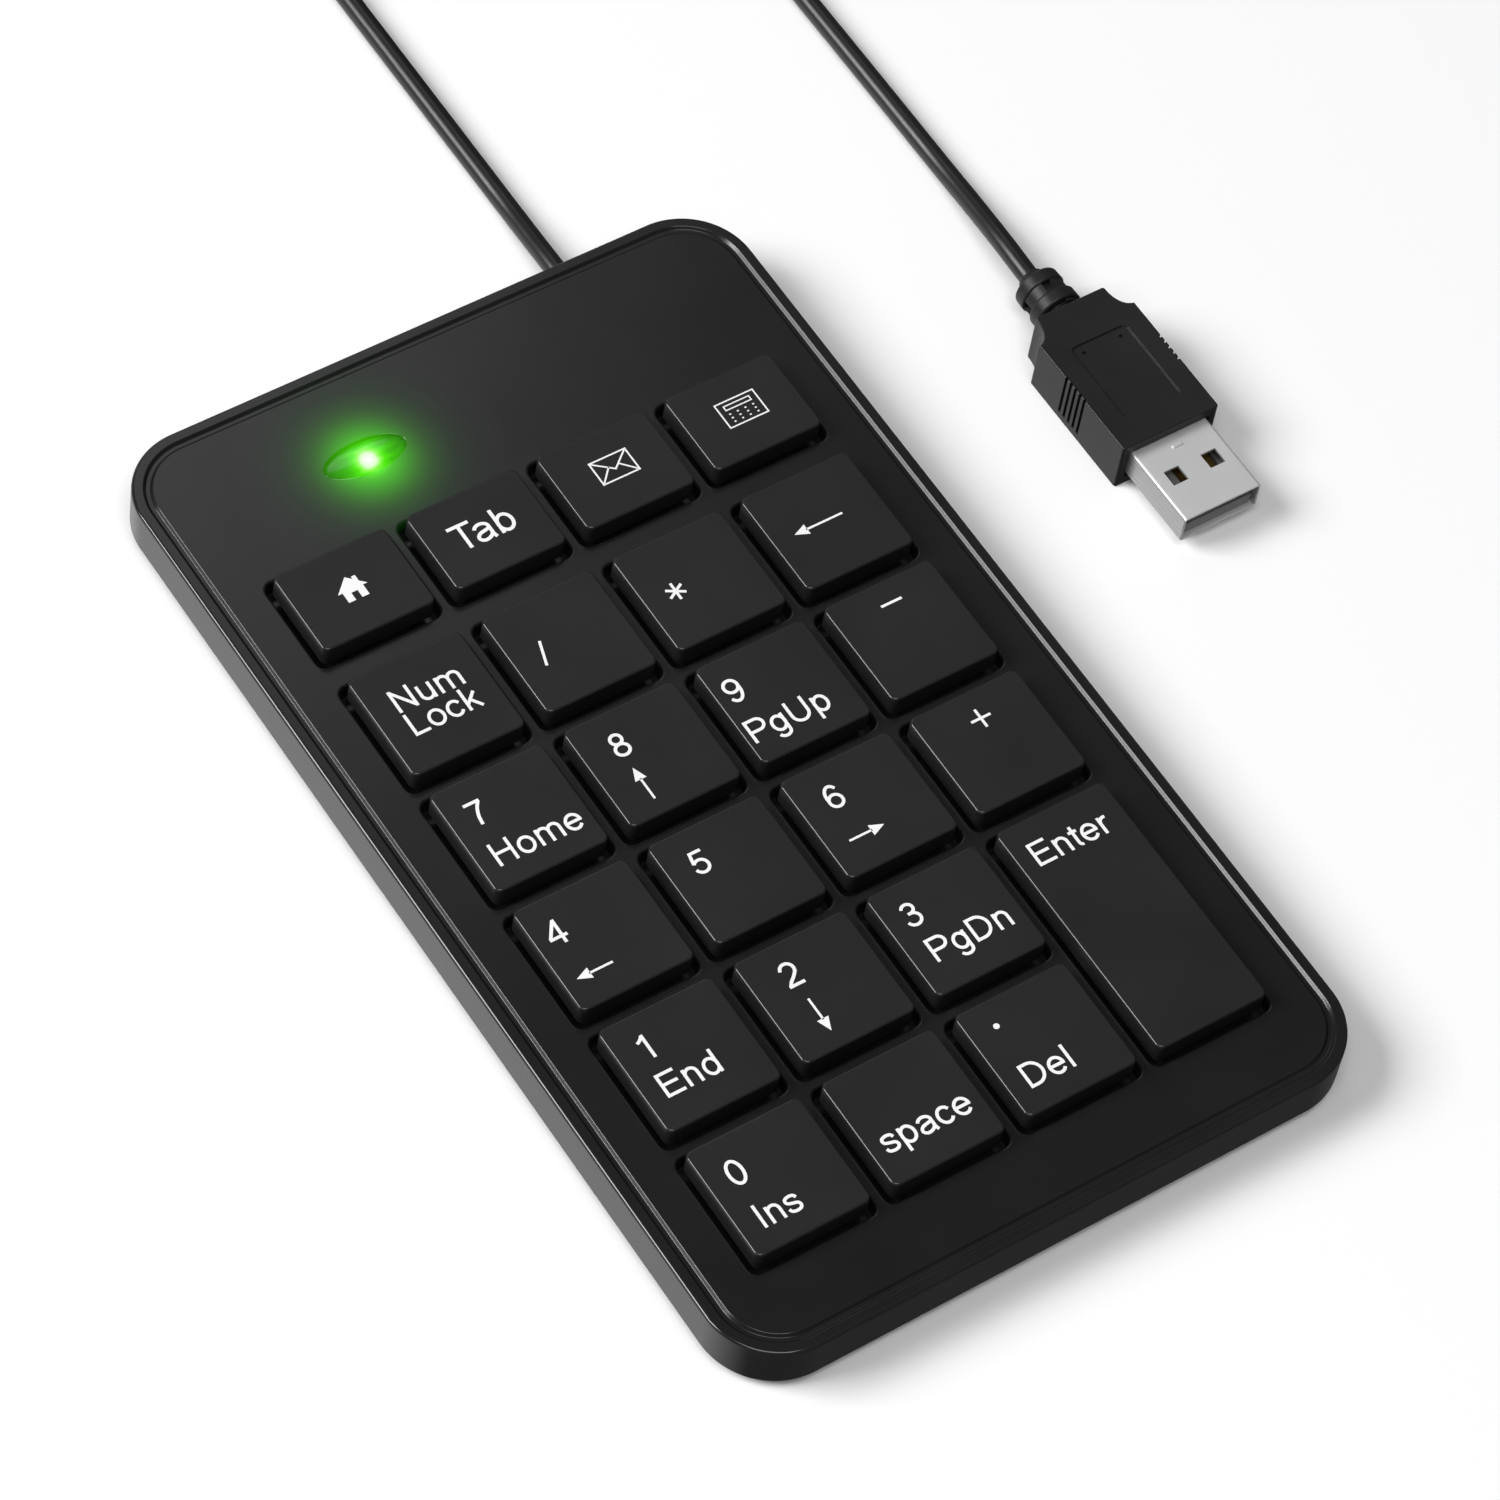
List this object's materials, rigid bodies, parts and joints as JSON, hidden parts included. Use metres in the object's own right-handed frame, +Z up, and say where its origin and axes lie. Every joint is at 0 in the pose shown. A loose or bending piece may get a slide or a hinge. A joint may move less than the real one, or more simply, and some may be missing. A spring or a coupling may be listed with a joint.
{
  "type": "numeric keypad",
  "caption": "Flat wired numeric keypad with low square keys, a tall Enter key, a green status light, a coiled lead and a USB type A plug.",
  "frame": {"origin": "under the middle of the case, on the table that the feet stand on", "axes": "+X to the right of the keypad as used, +Y towards its back edge where the lead leaves, +Z up"},
  "size_m": [0.1292, 0.2492, 0.0122],
  "materials": {
    "case_black": "fine satin face, glossy side walls",
    "key_black": "fine matt texture, white legends",
    "spring_steel": "drawn wire",
    "silicone": "translucent milky silicone",
    "film": "clear polyester with printed tracks",
    "board_green": "solder mask",
    "chip_black": "moulded epoxy",
    "led_green": "lit epoxy",
    "lens_green": "clear tinted, polished",
    "nylon_white": "moulded nylon",
    "rubber_black": "matt",
    "screw_steel": "zinc plated",
    "cord_vinyl": "satin vinyl",
    "tie_black": "soft ribbed plastic",
    "plug_steel": "nickel plated, fine brushing",
    "plug_insulator": "moulded",
    "contact_gold": "gold plated"
  },
  "bodies": {
    "case": {"top_cover": "case_black", "bottom_cover": "case_black", "dome_sheet": "silicone", "membrane_top_film": "film", "membrane_spacer_film": "film", "membrane_bottom_film": "film", "circuit_board": "board_green", "controller_chip": "chip_black", "status_led": "led_green", "led_lens": "lens_green", "cord_header": "nylon_white", "cord_grommet": "rubber_black", "case_screw_1": "screw_steel", "case_screw_2": "screw_steel", "case_screw_3": "screw_steel", "case_screw_4": "screw_steel", "case_screw_5": "screw_steel", "case_screw_6": "screw_steel", "foot_1": "rubber_black", "foot_2": "rubber_black", "foot_3": "rubber_black", "foot_4": "rubber_black", "cord_exit_run": "cord_vinyl", "cord_coil": "cord_vinyl", "cord_plug_run": "cord_vinyl", "cord_tie": "tie_black", "plug_mould": "cord_vinyl", "plug_shell": "plug_steel", "plug_tongue": "plug_insulator", "plug_contact_1": "contact_gold", "plug_contact_2": "contact_gold", "plug_contact_3": "contact_gold", "plug_contact_4": "contact_gold"},
    "key_web_home": {"key_web_home": "key_black"},
    "key_tab": {"key_tab": "key_black"},
    "key_mail": {"key_mail": "key_black"},
    "key_calculator": {"key_calculator": "key_black"},
    "key_num_lock": {"key_num_lock": "key_black"},
    "key_divide": {"key_divide": "key_black"},
    "key_multiply": {"key_multiply": "key_black"},
    "key_backspace": {"key_backspace": "key_black"},
    "key_7": {"key_7": "key_black"},
    "key_8": {"key_8": "key_black"},
    "key_9": {"key_9": "key_black"},
    "key_minus": {"key_minus": "key_black"},
    "key_4": {"key_4": "key_black"},
    "key_5": {"key_5": "key_black"},
    "key_6": {"key_6": "key_black"},
    "key_plus": {"key_plus": "key_black"},
    "key_1": {"key_1": "key_black"},
    "key_2": {"key_2": "key_black"},
    "key_3": {"key_3": "key_black"},
    "key_0": {"key_0": "key_black"},
    "key_space": {"key_space": "key_black"},
    "key_decimal": {"key_decimal": "key_black"},
    "key_enter": {"key_enter": "key_black"},
    "enter_stabiliser_wire": {"enter_stabiliser_wire": "spring_steel"}
  },
  "joints": [
    {"name": "key_web_home_press", "type": "slide", "parent": "case", "child": "key_web_home", "axis": [0, 0, -1], "range_m": [0, 0.0016], "stiffness_N_per_m": 210, "springref_m": -0.001, "deforming": ["dome_sheet"]},
    {"name": "key_tab_press", "type": "slide", "parent": "case", "child": "key_tab", "axis": [0, 0, -1], "range_m": [0, 0.0016], "stiffness_N_per_m": 210, "springref_m": -0.001, "deforming": ["dome_sheet"]},
    {"name": "key_mail_press", "type": "slide", "parent": "case", "child": "key_mail", "axis": [0, 0, -1], "range_m": [0, 0.0016], "stiffness_N_per_m": 210, "springref_m": -0.001, "deforming": ["dome_sheet"]},
    {"name": "key_calculator_press", "type": "slide", "parent": "case", "child": "key_calculator", "axis": [0, 0, -1], "range_m": [0, 0.0016], "stiffness_N_per_m": 210, "springref_m": -0.001, "deforming": ["dome_sheet"]},
    {"name": "key_num_lock_press", "type": "slide", "parent": "case", "child": "key_num_lock", "axis": [0, 0, -1], "range_m": [0, 0.0016], "stiffness_N_per_m": 210, "springref_m": -0.001, "deforming": ["dome_sheet"]},
    {"name": "key_divide_press", "type": "slide", "parent": "case", "child": "key_divide", "axis": [0, 0, -1], "range_m": [0, 0.0016], "stiffness_N_per_m": 210, "springref_m": -0.001, "deforming": ["dome_sheet"]},
    {"name": "key_multiply_press", "type": "slide", "parent": "case", "child": "key_multiply", "axis": [0, 0, -1], "range_m": [0, 0.0016], "stiffness_N_per_m": 210, "springref_m": -0.001, "deforming": ["dome_sheet"]},
    {"name": "key_backspace_press", "type": "slide", "parent": "case", "child": "key_backspace", "axis": [0, 0, -1], "range_m": [0, 0.0016], "stiffness_N_per_m": 210, "springref_m": -0.001, "deforming": ["dome_sheet"]},
    {"name": "key_7_press", "type": "slide", "parent": "case", "child": "key_7", "axis": [0, 0, -1], "range_m": [0, 0.0016], "stiffness_N_per_m": 210, "springref_m": -0.001, "deforming": ["dome_sheet"]},
    {"name": "key_8_press", "type": "slide", "parent": "case", "child": "key_8", "axis": [0, 0, -1], "range_m": [0, 0.0016], "stiffness_N_per_m": 210, "springref_m": -0.001, "deforming": ["dome_sheet"]},
    {"name": "key_9_press", "type": "slide", "parent": "case", "child": "key_9", "axis": [0, 0, -1], "range_m": [0, 0.0016], "stiffness_N_per_m": 210, "springref_m": -0.001, "deforming": ["dome_sheet"]},
    {"name": "key_minus_press", "type": "slide", "parent": "case", "child": "key_minus", "axis": [0, 0, -1], "range_m": [0, 0.0016], "stiffness_N_per_m": 210, "springref_m": -0.001, "deforming": ["dome_sheet"]},
    {"name": "key_4_press", "type": "slide", "parent": "case", "child": "key_4", "axis": [0, 0, -1], "range_m": [0, 0.0016], "stiffness_N_per_m": 210, "springref_m": -0.001, "deforming": ["dome_sheet"]},
    {"name": "key_5_press", "type": "slide", "parent": "case", "child": "key_5", "axis": [0, 0, -1], "range_m": [0, 0.0016], "stiffness_N_per_m": 210, "springref_m": -0.001, "deforming": ["dome_sheet"]},
    {"name": "key_6_press", "type": "slide", "parent": "case", "child": "key_6", "axis": [0, 0, -1], "range_m": [0, 0.0016], "stiffness_N_per_m": 210, "springref_m": -0.001, "deforming": ["dome_sheet"]},
    {"name": "key_plus_press", "type": "slide", "parent": "case", "child": "key_plus", "axis": [0, 0, -1], "range_m": [0, 0.0016], "stiffness_N_per_m": 210, "springref_m": -0.001, "deforming": ["dome_sheet"]},
    {"name": "key_1_press", "type": "slide", "parent": "case", "child": "key_1", "axis": [0, 0, -1], "range_m": [0, 0.0016], "stiffness_N_per_m": 210, "springref_m": -0.001, "deforming": ["dome_sheet"]},
    {"name": "key_2_press", "type": "slide", "parent": "case", "child": "key_2", "axis": [0, 0, -1], "range_m": [0, 0.0016], "stiffness_N_per_m": 210, "springref_m": -0.001, "deforming": ["dome_sheet"]},
    {"name": "key_3_press", "type": "slide", "parent": "case", "child": "key_3", "axis": [0, 0, -1], "range_m": [0, 0.0016], "stiffness_N_per_m": 210, "springref_m": -0.001, "deforming": ["dome_sheet"]},
    {"name": "key_0_press", "type": "slide", "parent": "case", "child": "key_0", "axis": [0, 0, -1], "range_m": [0, 0.0016], "stiffness_N_per_m": 210, "springref_m": -0.001, "deforming": ["dome_sheet"]},
    {"name": "key_space_press", "type": "slide", "parent": "case", "child": "key_space", "axis": [0, 0, -1], "range_m": [0, 0.0016], "stiffness_N_per_m": 210, "springref_m": -0.001, "deforming": ["dome_sheet"]},
    {"name": "key_decimal_press", "type": "slide", "parent": "case", "child": "key_decimal", "axis": [0, 0, -1], "range_m": [0, 0.0016], "stiffness_N_per_m": 210, "springref_m": -0.001, "deforming": ["dome_sheet"]},
    {"name": "key_enter_press", "type": "slide", "parent": "case", "child": "key_enter", "axis": [0, 0, -1], "range_m": [0, 0.0016], "stiffness_N_per_m": 210, "springref_m": -0.001, "deforming": ["dome_sheet"]},
    {"name": "enter_stabiliser_wire_swing", "type": "hinge", "parent": "case", "child": "enter_stabiliser_wire", "pos_m": [0.027, -0.04455, 0.0065], "axis": [0, 1, 0], "range_deg": [0, 13.9]}
  ],
  "couplings": [
    {"joint": "enter_stabiliser_wire_swing", "follows": "key_enter_press", "rad_per_m": 150.86}
  ]
}
